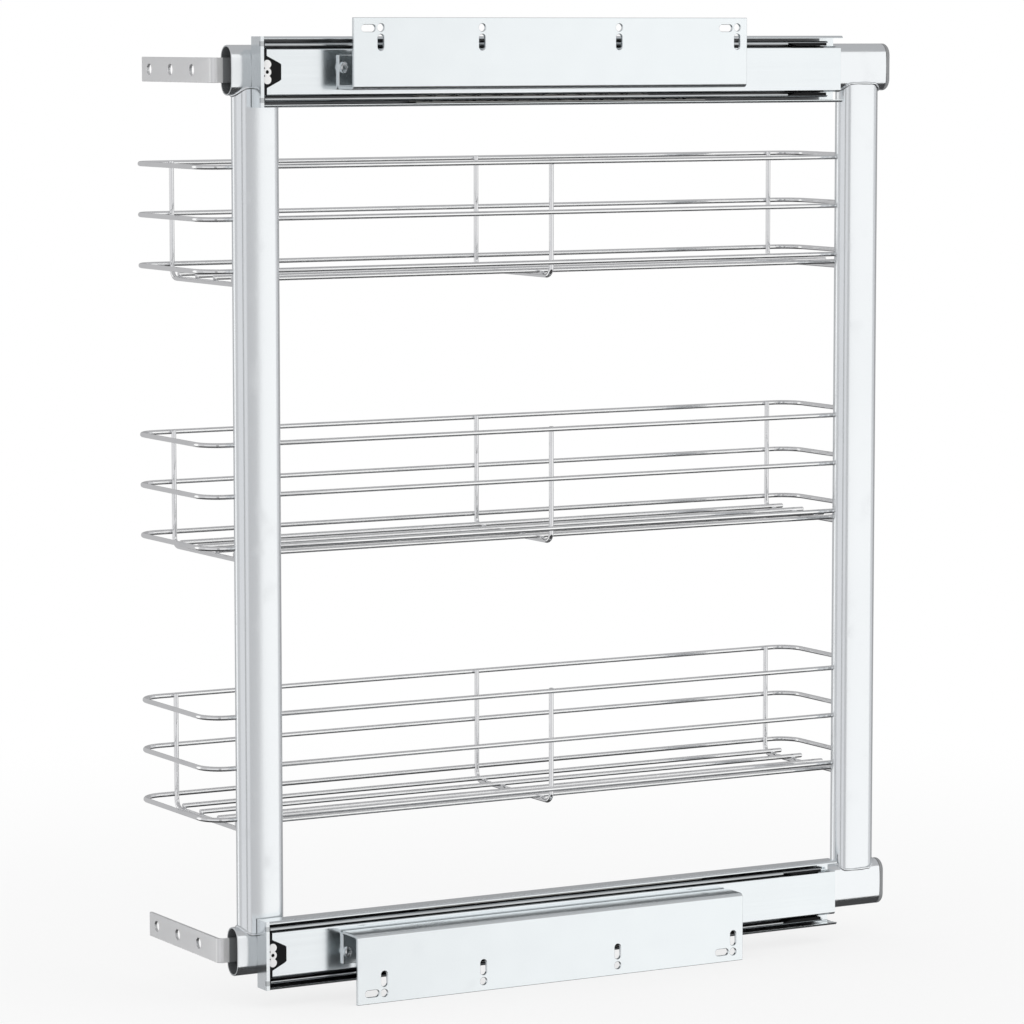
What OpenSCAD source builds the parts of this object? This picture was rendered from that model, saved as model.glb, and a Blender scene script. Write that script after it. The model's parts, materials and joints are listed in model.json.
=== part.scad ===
// Pull-out larder unit: a tubular frame with three wire baskets that runs on two ball-bearing
// slides. X runs along the tubes from their open front mouths to the capped rear ends, Y from
// the cabinet's side wall towards the baskets, Z up. The unit is drawn closed.

/* [Tubes] */
// Length of each flat-oval tube, without its end cap
tube_l = 467; // [440:1:520]
// Height of the tube
tube_h = 30; // [26:0.5:36]
// Width of the tube, side to side
tube_w = 15; // [14.5:0.5:18]
// Wall of the tube
tube_wall = 1.1; // [0.8:0.1:1.6]
// Distance between the centre lines of the two tubes
tube_rise = 531; // [512:1:800]
// Thickness of the rear end cap's plate
cap_t = 3; // [2.4:0.2:5]
// Radius on the rear edge of the end cap
cap_edge = 1.6; // [0.6:0.2:2.2]
// Length of the end cap's plug inside the tube
plug_l = 10; // [6:1:14]

/* [Posts] */
// Width of a post along the tubes
post_w = 30; // [24:0.5:34]
// Depth of a post, side to side
post_d = 14; // [12:0.5:14.5]
// Wall of a post
post_wall = 1.1; // [0.8:0.1:1.6]
// Centre of the front post, from the tubes' front mouths
front_post_x = 18.7; // [17.2:0.1:24]
// Centre of the rear post, ahead of the tubes' rear ends
rear_post_inset = 18; // [17.2:0.1:24]

/* [Panel brackets] */
// Height of the bracket's steel strip
strip_h = 15; // [12:0.5:18]
// Thickness of the strip
strip_t = 2; // [1.5:0.1:3]
// Front face of the bracket, ahead of the tubes' front mouths
panel_gap = 7; // [5:0.5:12]
// Reach of the bracket from the tubes' centre plane
bracket_reach = 103.5; // [98:0.5:112]
// Length of the bracket's leg inside the tube
leg_l = 60; // [54:1:90]
// Outer radius of the bracket's bend
strip_bend = 4; // [3.4:0.1:5]
// Radius of the front panel's screw holes
panel_hole_r = 3.3; // [2:0.1:4]
// Middle screw hole, from the tubes' centre plane
panel_hole_y = 63; // [55:1:65]
// Distance between the panel's screw holes
panel_hole_pitch = 30; // [16:1:34]
// First screw through the bracket's leg, from the tube's mouth
leg_screw_x = 25; // [14:1:30]
// Distance between the two leg screws
leg_screw_pitch = 23; // [12:1:26]

/* [Baskets] */
// Diameter of the basket wire
wire_d = 3; // [2.4:0.1:3.6]
// Width of a basket along its wire's centre line
basket_w = 102.5; // [90:0.5:130]
// How far a basket reaches ahead of the tubes' front mouths
basket_front = 10.7; // [4:0.1:18]
// How far a basket reaches past the tubes' rear ends
basket_back = 5; // [2:0.1:12]
// Radius of a basket's corners
basket_corner = 15; // [8:0.5:24]
// Distance from one ring of a basket to the next
ring_pitch = 31.2; // [24:0.1:33]
// Height of the lower basket's bottom ring over the bottom tube's centre
lower_basket_z = 79.2; // [50:0.1:100]
// Height of the middle basket's bottom ring
middle_basket_z = 244.4; // [200:0.1:270]
// Height of the upper basket's bottom ring
upper_basket_z = 411; // [370:0.1:420]
// Front cross wire, from the tubes' front mouths
front_cross_x = 14.6; // [14:0.1:22]
// Middle cross wire, from the tubes' front mouths
middle_cross_x = 229.4; // [200:0.1:260]
// Rear cross wire, ahead of the tubes' rear ends
rear_cross_inset = 15.6; // [15:0.1:37]
// Depth of a cross wire's floor run below the bottom ring
floor_drop = 8.55; // [7.4:0.05:12]
// Radius of a cross wire's bends
cross_bend = 6; // [4:0.5:7]
// Number of wires in a basket's floor
floor_wires = 4; // [2:1:4]
// Distance between the floor wires
floor_pitch = 25; // [12:0.5:26]
// How far the floor wires reach past the front cross wire
floor_front_end = 1.1; // [0:0.1:4]
// How far the floor wires reach past the rear cross wire
floor_rear_end = 5.6; // [0:0.1:8]

/* [Slides] */
// Height of a slide
slide_h = 42; // [40:0.5:46]
// Depth of a slide, from the tube's face to its lips
slide_d = 12.5; // [12:0.1:14]
// How far a slide's centre lies below its tube's centre
slide_drop = 1; // [0:0.1:3]
// Front face of the slide's end tab, behind the tubes' front mouths
tab_x = 13; // [10:0.5:16]
// Thickness of the end tab
tab_t = 2.2; // [1.2:0.1:3]
// Length of the rails
rail_l = 412; // [400:1:420]
// Sheet thickness of the rail on the frame
rail_t = 1.3; // [1.1:0.1:1.5]
// Sheet thickness of the middle and cabinet rails
slide_t = 1.2; // [1.1:0.1:1.4]
// Outer radius of the rails' bends
rail_bend = 1.8; // [1.6:0.1:2.2]
// How far the frame rail's lips reach in from its edges
frame_lip = 1.6; // [1.6:0.1:2.4]
// How far the middle rail's lips reach in from its edges
middle_lip = 2.1; // [1.5:0.1:2.4]
// How far the middle rail ends ahead of the other two
middle_setback = 11; // [8:0.5:14]
// Free travel of the frame
travel = 400; // [300:10:400]
// Diameter of the balls
ball_d = 2.6; // [2.2:0.1:2.8]
// How deep a ball lies in each groove
ball_bite = 0.3; // [0.2:0.05:0.4]
// Distance between the balls
ball_pitch = 15; // [8:1:30]
// Sheet thickness of the ball cages
cage_t = 0.4; // [0.3:0.05:0.5]
// Length of the black stops on the middle rail
stop_l = 29; // [16:1:40]

/* [Catch] */
// Height of the catch's strip against the end tab
catch_h = 27.4; // [24:0.2:27.4]
// Thickness of the strip
catch_strip = 2.6; // [2:0.1:4]
// Length of the catch behind the end tab
catch_l = 12.1; // [10:0.1:16]
// Height of the catch's nose where it leaves the strip
nose_root = 18.6; // [15:0.2:20]
// Height of the catch's nose at its tip
nose_tip = 10; // [6:0.2:12]
// Radius of each lobe of the bright catch plate
lobe_r = 2.6; // [2.2:0.1:2.8]
// Distance from one lobe to the next
lobe_pitch = 4.6; // [4:0.1:5]
// Radius of the hole in the catch plate
lobe_hole_r = 1.1; // [0.6:0.1:1.6]
// Thickness of the catch plate
lobe_t = 0.6; // [0.4:0.1:1]

/* [Mounting plates] */
// Length of a mounting plate
plate_l = 276; // [264:1:300]
// Front end of the plate, from the tubes' front mouths
plate_x = 65; // [50:1:80]
// Sheet thickness of the plate
plate_t = 2; // [1.5:0.1:2.5]
// Distance from the plate's foot to its cabinet face
plate_offset = 21; // [16:0.5:30]
// Height of the cabinet face beyond the slide's centre
plate_top = 32.2; // [31:0.2:40]
// Depth of the plate's web on the other side of the slide's centre
plate_drop = 10.8; // [9:0.1:12]
// Height of the foot beyond the slide's centre
foot_top = 10; // [8:0.1:12]
// Outer radius of the plate's bends
plate_bend = 3; // [2.6:0.1:4]
// Foot screws, from each end of the plate
foot_screw_inset = 3.4; // [3:0.1:8]
// Height of the foot screws over the slide's centre
foot_screw_z = 2.5; // [0:0.1:4]
// First group of holes, from the plate's front end
group_1 = 18.4; // [17:0.1:24]
// Second group of holes
group_2 = 87.4; // [60:0.1:110]
// Third group of holes
group_3 = 183.4; // [150:0.1:220]
// Last group of holes
group_4 = 268.7; // [230:0.1:269]
// Radius of the round cabinet screw holes
plate_hole_r = 2.3; // [1.8:0.1:2.6]
// Height of the round holes over the slide's centre
plate_hole_z = 26.2; // [25.8:0.1:27]
// Width of the adjusting slots
slot_w = 4.2; // [3:0.1:4.6]
// Length of the upright slots
upright_slot_l = 9.6; // [7:0.1:9.8]
// Centre height of the upright slots over the slide's centre
upright_slot_z = 17.4; // [15:0.1:17.6]
// Length of the level slots
level_slot_l = 9.5; // [7:0.1:10.5]
// Centre height of the level slots over the slide's centre
level_slot_z = 25.8; // [24:0.1:27]
// How far a level slot's centre lies ahead of its group
level_slot_lead = 8.35; // [8:0.05:10]
// Radius of the two holes in the plate's web
web_hole_r = 2; // [1:0.1:2.4]
// First web hole, from the plate's front end
web_hole_1 = 19; // [12:0.5:30]
// Second web hole, from the plate's front end
web_hole_2 = 254.5; // [200:0.5:258]
// Distance of the web holes from the foot
web_hole_y = 9.2; // [6:0.1:12]

/* [Screws and rivets] */
// Radius of the foot screws' heads
foot_head_r = 3.4; // [2.6:0.1:3.8]
// Height of the foot screws' heads
foot_head_h = 2.2; // [1.4:0.1:2.8]
// Radius of the foot screws' threads
foot_screw_r = 1.9; // [1.2:0.1:2.2]
// Radius of the leg screws' heads
leg_head_r = 3.2; // [2.6:0.1:3.8]
// Height of the leg screws' heads
leg_head_h = 1.8; // [1.4:0.1:2.8]
// Radius of the leg screws' threads
leg_screw_r = 1.7; // [1.2:0.1:2.2]
// Width of the cross recesses
recess_w = 0.9; // [0.6:0.1:1.2]
// Radius of the rivets' shanks
rivet_r = 2; // [1.4:0.1:2.4]
// Radius of the rivets' sunk heads and of their closed ends
rivet_head_r = 3; // [2.6:0.1:3.4]
// Number of rivets in each rail
rivet_n = 4; // [2:1:6]
// First and last rivet, from the rail's ends
rivet_inset = 30; // [16:1:60]

/* [Hidden] */
// clearances
weld_gap = 0.05;    // a post's coped end to its tube
screw_play = 0.1;   // round a screw or a rivet in its hole
plug_play = 0.1;    // the end cap's plug in its tube
ball_play = 0.08;   // round a ball in its grooves
cage_play = 0.15;   // each side of a cage's web
rail_gap = 0.3;     // a rail's lip over the next rail, and the catch in its notch
end_gap = 2;        // a cage to what ends its run
// places along X
tube_end = tube_l + cap_t;
rear_post_x = tube_l - rear_post_inset;
tab_back = tab_x + tab_t;
rail_end = tab_x + rail_l;
middle_x = tab_back + 3 * rail_gap;
middle_end = rail_end - middle_setback;
cabinet_x = tab_back + catch_strip + rail_gap;
stop_x = middle_end - 1 - stop_l;
// the slide's section: y from the tube's face towards the viewer, z from the slide's centre
rail_half = slide_h / 2;
lane = ball_d - 2 * ball_bite;
middle_half = rail_half - rail_t - lane;
cabinet_half = middle_half - slide_t - lane;
middle_back = rail_t + cage_t + 2 * cage_play;
middle_front = slide_d - 2 * rail_gap;
cabinet_back = middle_back + slide_t + cage_t + 2 * cage_play + rail_gap;
cabinet_front = middle_front - slide_t - rail_gap - screw_play;
outer_ball_y = slide_d / 2;
outer_ball_z = middle_half + lane / 2;
inner_ball_y = (cabinet_back + cabinet_front) / 2;
inner_ball_z = cabinet_half + lane / 2;
cage_flange_t = 1.5 * cage_t;
// a cage runs a quarter of the travel along each of its two rails
cage_run = travel / 4;
outer_cage_x = middle_x + cage_run + end_gap;
outer_cage_end = rail_end - cage_run - end_gap;
inner_cage_x = cabinet_x + cage_run + end_gap;
inner_cage_end = stop_x - cage_run - end_gap;
// catch
catch_back = middle_back + slide_t + rail_gap;
catch_front = cabinet_front + screw_play + 0.1;
// mounting plate, in the slide's section
foot_y = cabinet_front;
face_y = foot_y + plate_offset;
groups = [group_1, group_2, group_3, group_4];
foot_screw_tip = 2.5;
// basket
basket_near = post_d / 2 + wire_d / 2;
basket_far = basket_near + basket_w;
basket_rear = tube_l + basket_back;
rear_cross_x = tube_l - rear_cross_inset;
cross_near = basket_near + wire_d;
cross_far = basket_far - wire_d;
floor_mid = (basket_near + basket_far) / 2;
basket_z = [lower_basket_z, middle_basket_z, upper_basket_z];
// bracket
leg_y = tube_w / 2 - tube_wall - strip_t;
leg_screw_tip = 1.5;
// the origin: middle of the four outer cabinet screws, on the cabinet's wall
origin_x = plate_x + (group_1 + group_4) / 2;
origin_y = -tube_w / 2 - face_y;
origin_z = tube_rise / 2 - slide_drop;
BOTTOM = 0;
TOP = 1;
$fn = 72;

// ---- placing ----
module in_place() {
  translate([-origin_x, -origin_y, -origin_z])
    children();
}

// an outline in (y, z), drawn out along X
module along_x(x, l) {
  translate([x, 0, 0])
    rotate([90, 0, 90])
      linear_extrude(l)
        children();
}

// at a tube's centre line
module at_tube(level) {
  translate([0, 0, level * tube_rise])
    children();
}

// on the tube's face at the slide's centre, y towards the viewer; the bottom unit is upside down
module at_slide(level) {
  translate([0, -tube_w / 2, level * tube_rise - slide_drop])
    mirror([0, 0, 1 - level])
      mirror([0, 1, 0])
        children();
}

// both edges of a slide's section
module both_edges() {
  for (edge = [0, 1])
    mirror([0, 0, edge])
      children();
}

// ---- outlines ----
// flat oval, its long side along the outline's second axis
module flat_oval(h, w) {
  square([w, h - w], center = true);
  for (side = [-1, 1])
    translate([0, side * (h - w) / 2])
      circle(d = w);
}

// rectangle from corner to corner with round corners
module rounded(x0, y0, x1, y1, r) {
  translate([x0 + r, y0])
    square([x1 - x0 - 2 * r, y1 - y0]);
  translate([x0, y0 + r])
    square([x1 - x0, y1 - y0 - 2 * r]);
  for (x = [x0 + r, x1 - r], y = [y0 + r, y1 - r])
    translate([x, y])
      circle(r);
}

// quarter of a disc, in the corner between +X and +Y before it is turned
module quarter(r, turn) {
  rotate(turn)
    intersection() {
      circle(r);
      square(r);
    }
}

// folded sheet with its open side towards the viewer: back, front, half height, thickness
module channel(back, front, half, t, lip_end) {
  difference() {
    rounded(back, -half, front, half, rail_bend);
    rounded(back + t, t - half, front - t, half - t, rail_bend - t);
    translate([(back + front) / 2, -lip_end])
      square([front - back, 2 * lip_end]);
  }
}

// ---- fasteners, their heads towards +Z from the plane z = 0 ----
module pan_screw(head_r, head_h, shank_r, shank_l) {
  dome_r = 1.5 * head_r;
  difference() {
    rotate_extrude() {
      intersection() {
        translate([0, head_h - dome_r])
          circle(dome_r);
        square([head_r, head_h]);
      }
      translate([0, -shank_l])
        square([shank_r, shank_l + head_h / 2]);
    }
    for (turn = [0, 90])
      rotate(turn)
        translate([-head_r / 2, -recess_w / 2, head_h / 2])
          cube([head_r, recess_w, head_h]);
  }
}

// ---- tubes, posts, caps ----
module tube(level) {
  at_tube(level)
    difference() {
      along_x(0, tube_l)
        difference() {
          flat_oval(tube_h, tube_w);
          flat_oval(tube_h - 2 * tube_wall, tube_w - 2 * tube_wall);
        }
      rivet_holes_in_tube();
      leg_screw_places()
        translate([0, 0, -2 * tube_wall])
          cylinder(r = leg_screw_r + screw_play, h = 3 * tube_wall);
    }
}

module rivet_holes_in_tube() {
  for (x = rivet_places())
    translate([x, -tube_w / 2, -slide_drop])
      rotate([90, 0, 0])
        cylinder(r = rivet_r + screw_play, h = 4 * tube_wall, center = true);
}

module post(x) {
  difference() {
    translate([x, 0, 0])
      linear_extrude(tube_rise)
        rotate(90)
          difference() {
            flat_oval(post_w, post_d);
            flat_oval(post_w - 2 * post_wall, post_d - 2 * post_wall);
          }
    for (level = [BOTTOM, TOP])
      at_tube(level)
        along_x(x - post_w, 2 * post_w)
          flat_oval(tube_h + 2 * weld_gap, tube_w + 2 * weld_gap);
  }
}

// half of the cap plate's section: from its middle outwards, and from the tube to the rear
module cap_half() {
  square([tube_w / 2 - cap_edge, cap_t]);
  square([tube_w / 2, cap_t - cap_edge]);
  translate([tube_w / 2 - cap_edge, cap_t - cap_edge])
    quarter(cap_edge, 0);
}

module end_cap(level) {
  straight = tube_h - tube_w;
  at_tube(level) {
    translate([tube_l, 0, -straight / 2])
      linear_extrude(straight) {
        translate([0, cap_edge - tube_w / 2])
          square([cap_t, tube_w - 2 * cap_edge]);
        translate([0, -tube_w / 2])
          square([cap_t - cap_edge, tube_w]);
        translate([cap_t - cap_edge, tube_w / 2 - cap_edge])
          quarter(cap_edge, 0);
        translate([cap_t - cap_edge, cap_edge - tube_w / 2])
          quarter(cap_edge, -90);
      }
    for (end = [-1, 1])
      translate([tube_l, 0, end * straight / 2])
        rotate([0, 90, 0])
          rotate_extrude()
            cap_half();
    along_x(tube_l - plug_l, plug_l)
      flat_oval(tube_h - 2 * (tube_wall + plug_play), tube_w - 2 * (tube_wall + plug_play));
  }
}

// ---- panel brackets ----
module leg_screw_places() {
  for (i = [0, 1])
    translate([leg_screw_x + i * leg_screw_pitch, tube_w / 2, 0])
      rotate([-90, 0, 0])
        children();
}

module panel_bracket(level) {
  bend_x = strip_bend - panel_gap;
  bend_y = leg_y + strip_bend;
  at_tube(level)
    difference() {
      translate([0, 0, -strip_h / 2])
        linear_extrude(strip_h) {
          translate([bend_x, leg_y])
            square([leg_l - bend_x, strip_t]);
          translate([-panel_gap, bend_y])
            square([strip_t, bracket_reach - bend_y]);
          translate([bend_x, bend_y])
            difference() {
              quarter(strip_bend, 180);
              circle(strip_bend - strip_t);
            }
        }
      for (i = [-1, 0, 1])
        translate([-panel_gap - strip_t, panel_hole_y + i * panel_hole_pitch, 0])
          rotate([0, 90, 0])
            cylinder(r = panel_hole_r, h = 3 * strip_t);
      leg_screw_places()
        translate([0, 0, -tube_w / 2])
          cylinder(r = leg_screw_r + screw_play, h = tube_w / 2);
    }
}

module bracket_screws(level) {
  at_tube(level)
    leg_screw_places()
      pan_screw(leg_head_r, leg_head_h, leg_screw_r, tube_wall + strip_t + leg_screw_tip);
}

// ---- baskets ----
module wire_x(x0, x1, y, z) {
  translate([x0, y, z])
    rotate([0, 90, 0])
      cylinder(d = wire_d, h = x1 - x0);
}

module wire_y(y0, y1, x, z) {
  translate([x, y0, z])
    rotate([-90, 0, 0])
      cylinder(d = wire_d, h = y1 - y0);
}

// a quarter turn of wire about Z, from +X towards +Y
module wire_bend(r) {
  rotate_extrude(angle = 90)
    translate([r, 0])
      circle(d = wire_d);
}

module ring(z) {
  r = basket_corner;
  x0 = -basket_front;
  x1 = basket_rear;
  y0 = basket_near;
  y1 = basket_far;
  for (y = [y0, y1])
    wire_x(x0 + r, x1 - r, y, z);
  for (x = [x0, x1])
    wire_y(y0 + r, y1 - r, x, z);
  corners = [[x1 - r, y1 - r], [x0 + r, y1 - r], [x0 + r, y0 + r], [x1 - r, y0 + r]];
  for (i = [0 : 3])
    translate([corners[i].x, corners[i].y, z])
      rotate(90 * i)
        wire_bend(r);
}

// one wire bent into a U: up the near side, along under the floor, and up the far side
module cross_wire(x, z) {
  floor_z = z - floor_drop;
  top_z = z + 2 * ring_pitch + wire_d / 2;
  for (y = [cross_near, cross_far])
    translate([x, y, floor_z + cross_bend])
      cylinder(d = wire_d, h = top_z - floor_z - cross_bend);
  wire_y(cross_near + cross_bend, cross_far - cross_bend, x, floor_z);
  translate([x, cross_far - cross_bend, floor_z + cross_bend])
    rotate([0, 90, 0])
      wire_bend(cross_bend);
  translate([x, cross_near + cross_bend, floor_z + cross_bend])
    mirror([0, 1, 0])
      rotate([0, 90, 0])
        wire_bend(cross_bend);
}

module cross_wires(z) {
  for (x = [front_cross_x, middle_cross_x, rear_cross_x])
    cross_wire(x, z);
}

module floor_wires_of(z) {
  for (i = [0 : floor_wires - 1])
    wire_x(
      front_cross_x - floor_front_end,
      rear_cross_x + floor_rear_end,
      floor_mid + (i - (floor_wires - 1) / 2) * floor_pitch,
      z - floor_drop + wire_d
    );
}

// ---- slides ----
function rivet_places() =
  let (first = tab_x + rivet_inset, pitch = (rail_l - 2 * rivet_inset) / (rivet_n - 1))
  [for (i = [0 : rivet_n - 1]) first + i * pitch];

// sunk head in the rail, shank through rail and tube, closed end inside the tube
module rivet(play) {
  sink = rivet_head_r - rivet_r;
  rotate([-90, 0, 0])
    rotate_extrude()
      polygon([
        [0, -tube_wall - rivet_r / 2],
        [rivet_head_r, -tube_wall - rivet_r / 2],
        [rivet_head_r, -tube_wall],
        [rivet_r + play, -tube_wall],
        [rivet_r + play, rail_t - sink],
        [rivet_head_r + play, rail_t],
        [0, rail_t]
      ]);
}

module rivets(level) {
  at_slide(level)
    for (x = rivet_places())
      translate([x, 0, 0])
        rivet(0);
}

// grooves for the balls, at a height over the slide's centre
module grooves(y, z, x, l) {
  for (edge = [-1, 1])
    translate([x, y, edge * z])
      rotate([0, 90, 0])
        cylinder(d = ball_d + 2 * ball_play, h = l);
}

module frame_rail(level) {
  at_slide(level)
    difference() {
      union() {
        along_x(tab_x, rail_l)
          channel(0, slide_d, rail_half, rail_t, rail_half - frame_lip);
        translate([tab_x, 0, -rail_half])
          cube([tab_t, slide_d, slide_h]);
      }
      grooves(outer_ball_y, outer_ball_z, tab_back, rail_l);
      for (x = rivet_places())
        translate([x, 0, 0])
          rivet(screw_play / 2);
    }
}

module middle_rail(level) {
  at_slide(level)
    difference() {
      along_x(middle_x, middle_end - middle_x)
        channel(middle_back, middle_front, middle_half, slide_t, middle_half - middle_lip);
      grooves(outer_ball_y, outer_ball_z, middle_x - 1, rail_l);
      grooves(inner_ball_y, inner_ball_z, middle_x - 1, rail_l);
      // the lips are cut away where the stops sit
      translate([stop_x, inner_ball_y, slide_t - middle_half])
        cube([rail_l, slide_d, 2 * (middle_half - slide_t)]);
    }
}

// a block in each edge of the middle rail, with a slanted front end
module middle_rail_stops(level) {
  low = cabinet_half + rail_gap;
  high = middle_half - slide_t;
  stop_back = cabinet_back;
  stop_end = stop_x + stop_l;
  at_slide(level)
    both_edges()
      translate([0, middle_front, 0])
        rotate([90, 0, 0])
          linear_extrude(middle_front - stop_back)
            polygon([[stop_x, high], [stop_x + stop_l / 4, low], [stop_end, low], [stop_end, high]]);
}

module cabinet_rail(level) {
  at_slide(level)
    difference() {
      along_x(cabinet_x, rail_end - cabinet_x)
        difference() {
          rounded(cabinet_back - rail_bend, -cabinet_half, cabinet_front, cabinet_half, rail_bend);
          translate([-slide_t, 0])
            rounded(
              cabinet_back - rail_bend, slide_t - cabinet_half, cabinet_front, cabinet_half - slide_t,
              rail_bend - slide_t
            );
          translate([cabinet_back - slide_d, -slide_h / 2])
            square([slide_d, slide_h]);
        }
      grooves(inner_ball_y, inner_ball_z, cabinet_x - 1, rail_l);
      translate([tab_back, slide_d, 0])
        rotate([90, 0, 0])
          linear_extrude(slide_d)
            nose(rail_gap);
      foot_screw_places()
        translate([0, 0, -slide_d])
          cylinder(r = foot_screw_r + screw_play / 2, h = 2 * slide_d);
    }
}

// ---- ball cages and balls ----
function ball_places(x, x_end) =
  let (n = floor((x_end - x) / ball_pitch), first = (x + x_end - (n - 1) * ball_pitch) / 2)
  [for (i = [0 : n - 1]) first + i * ball_pitch];

// a U of thin sheet: its web behind the next rail, its two flanges between the rails' edges
module cage(level, back, front, ball_y, ball_z, x, x_end) {
  at_slide(level)
    difference() {
      along_x(x, x_end - x) {
        translate([back, -ball_z])
          square([cage_t, 2 * ball_z]);
        for (edge = [-1, 1])
          translate([back, edge * ball_z - cage_flange_t / 2])
            square([front - back, cage_flange_t]);
      }
      for (bx = ball_places(x, x_end), edge = [-1, 1])
        translate([bx, ball_y, edge * ball_z])
          cylinder(d = ball_d + 2 * ball_play, h = ball_d, center = true);
    }
}

module balls(level, ball_y, ball_z, x, x_end) {
  at_slide(level)
    for (bx = ball_places(x, x_end), edge = [-1, 1])
      translate([bx, ball_y, edge * ball_z])
        sphere(d = ball_d);
}

module outer_cage(level) {
  back = rail_t + cage_play;
  front = slide_d - rail_t - rail_gap;
  cage(level, back, front, outer_ball_y, outer_ball_z, outer_cage_x, outer_cage_end);
}

module inner_cage(level) {
  back = middle_back + slide_t + cage_play;
  front = middle_front - slide_t - rail_gap;
  cage(level, back, front, inner_ball_y, inner_ball_z, inner_cage_x, inner_cage_end);
}

module outer_balls(level) {
  balls(level, outer_ball_y, outer_ball_z, outer_cage_x, outer_cage_end);
}

module inner_balls(level) {
  balls(level, inner_ball_y, inner_ball_z, inner_cage_x, inner_cage_end);
}

// ---- catch ----
// the nose's outline in (x, z), from the end tab's rear face, grown by a clearance
module nose(grow) {
  chamfer = catch_strip / 3;
  root = nose_root / 2 + grow;
  tip = nose_tip / 2 + grow;
  polygon([
    [0, -root], [catch_strip, -root], [catch_l - chamfer, -tip], [catch_l + grow, chamfer - tip],
    [catch_l + grow, tip - chamfer], [catch_l - chamfer, tip], [catch_strip, root], [0, root]
  ]);
}

module rail_catch(level) {
  at_slide(level)
    translate([tab_back, catch_front, 0])
      rotate([90, 0, 0])
        linear_extrude(catch_front - catch_back) {
          nose(0);
          translate([0, -catch_h / 2])
            square([catch_strip, catch_h]);
        }
}

module catch_plate(level) {
  at_slide(level)
    translate([tab_back + lobe_r + rail_gap, catch_front + lobe_t, 0])
      rotate([90, 0, 0])
        linear_extrude(lobe_t)
          difference() {
            for (i = [-1, 0, 1])
              translate([0, i * lobe_pitch])
                circle(lobe_r);
            circle(lobe_hole_r);
          }
}

// ---- mounting plates ----
module foot_screw_places() {
  for (x = [plate_x + foot_screw_inset, plate_x + plate_l - foot_screw_inset])
    translate([x, foot_y + plate_t, foot_screw_z])
      rotate([-90, 0, 0])
        children();
}

// a slot through the cabinet face, its middle at (x, z) on the plate
module slot(x, z, l, turn) {
  translate([x, face_y + plate_t, z])
    rotate([90, 0, 0])
      linear_extrude(3 * plate_t)
        rotate(turn)
          flat_oval(l, slot_w);
}

module plate_section() {
  difference() {
    rounded(foot_y, -plate_drop, face_y, plate_top + plate_bend, plate_bend);
    rounded(
      foot_y + plate_t, plate_t - plate_drop, face_y - plate_t, plate_top + 2 * plate_bend,
      plate_bend - plate_t
    );
    translate([0, plate_top])
      square([2 * face_y, plate_top]);
    translate([0, foot_top])
      square([(foot_y + face_y) / 2, plate_top]);
  }
}

module mounting_plate(level) {
  at_slide(level)
    difference() {
      along_x(plate_x, plate_l)
        plate_section();
      for (x = groups) {
        translate([plate_x + x, face_y - 2 * plate_t, plate_hole_z])
          rotate([-90, 0, 0])
            cylinder(r = plate_hole_r, h = 3 * plate_t);
        slot(plate_x + x, upright_slot_z, upright_slot_l, 0);
      }
      for (x = [group_1, group_4])
        slot(plate_x + x - level_slot_lead, level_slot_z, level_slot_l, 90);
      for (x = [web_hole_1, web_hole_2])
        translate([plate_x + x, foot_y + web_hole_y, -plate_drop - plate_t])
          cylinder(r = web_hole_r, h = 3 * plate_t);
      foot_screw_places()
        translate([0, 0, -2 * plate_t])
          cylinder(r = foot_screw_r + screw_play, h = 3 * plate_t);
    }
}

module plate_screws(level) {
  at_slide(level)
    foot_screw_places()
      pan_screw(foot_head_r, foot_head_h, foot_screw_r, plate_t + slide_t + foot_screw_tip);
}

// ---- sub-parts ----
module top_mounting_plate() color("whitesmoke") in_place() mounting_plate(TOP);
module bottom_mounting_plate() color("whitesmoke") in_place() mounting_plate(BOTTOM);
module top_plate_screws() color("lightgray") in_place() plate_screws(TOP);
module bottom_plate_screws() color("lightgray") in_place() plate_screws(BOTTOM);
module top_cabinet_rail() color("aliceblue") in_place() cabinet_rail(TOP);
module bottom_cabinet_rail() color("aliceblue") in_place() cabinet_rail(BOTTOM);
module top_middle_rail() color("darkgray") in_place() middle_rail(TOP);
module bottom_middle_rail() color("darkgray") in_place() middle_rail(BOTTOM);
module top_middle_rail_stops() color("black") in_place() middle_rail_stops(TOP);
module bottom_middle_rail_stops() color("black") in_place() middle_rail_stops(BOTTOM);
module top_inner_ball_cage() color("goldenrod") in_place() inner_cage(TOP);
module bottom_inner_ball_cage() color("goldenrod") in_place() inner_cage(BOTTOM);
module top_outer_ball_cage() color("goldenrod") in_place() outer_cage(TOP);
module bottom_outer_ball_cage() color("goldenrod") in_place() outer_cage(BOTTOM);
module top_inner_balls() color("dimgray") in_place() inner_balls(TOP);
module bottom_inner_balls() color("dimgray") in_place() inner_balls(BOTTOM);
module top_outer_balls() color("dimgray") in_place() outer_balls(TOP);
module bottom_outer_balls() color("dimgray") in_place() outer_balls(BOTTOM);
module top_frame_rail() color("gainsboro") in_place() frame_rail(TOP);
module bottom_frame_rail() color("gainsboro") in_place() frame_rail(BOTTOM);
module top_rail_catch() color("black") in_place() rail_catch(TOP);
module bottom_rail_catch() color("black") in_place() rail_catch(BOTTOM);
module top_catch_plate() color("white") in_place() catch_plate(TOP);
module bottom_catch_plate() color("white") in_place() catch_plate(BOTTOM);
module top_rail_rivets() color("gray") in_place() rivets(TOP);
module bottom_rail_rivets() color("gray") in_place() rivets(BOTTOM);
module top_tube() color("lightsteelblue") in_place() tube(TOP);
module bottom_tube() color("lightsteelblue") in_place() tube(BOTTOM);
module front_post() color("lightsteelblue") in_place() post(front_post_x);
module rear_post() color("lightsteelblue") in_place() post(rear_post_x);
module top_tube_end_cap() color("silver") in_place() end_cap(TOP);
module bottom_tube_end_cap() color("silver") in_place() end_cap(BOTTOM);
module top_panel_bracket() color("silver") in_place() panel_bracket(TOP);
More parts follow.
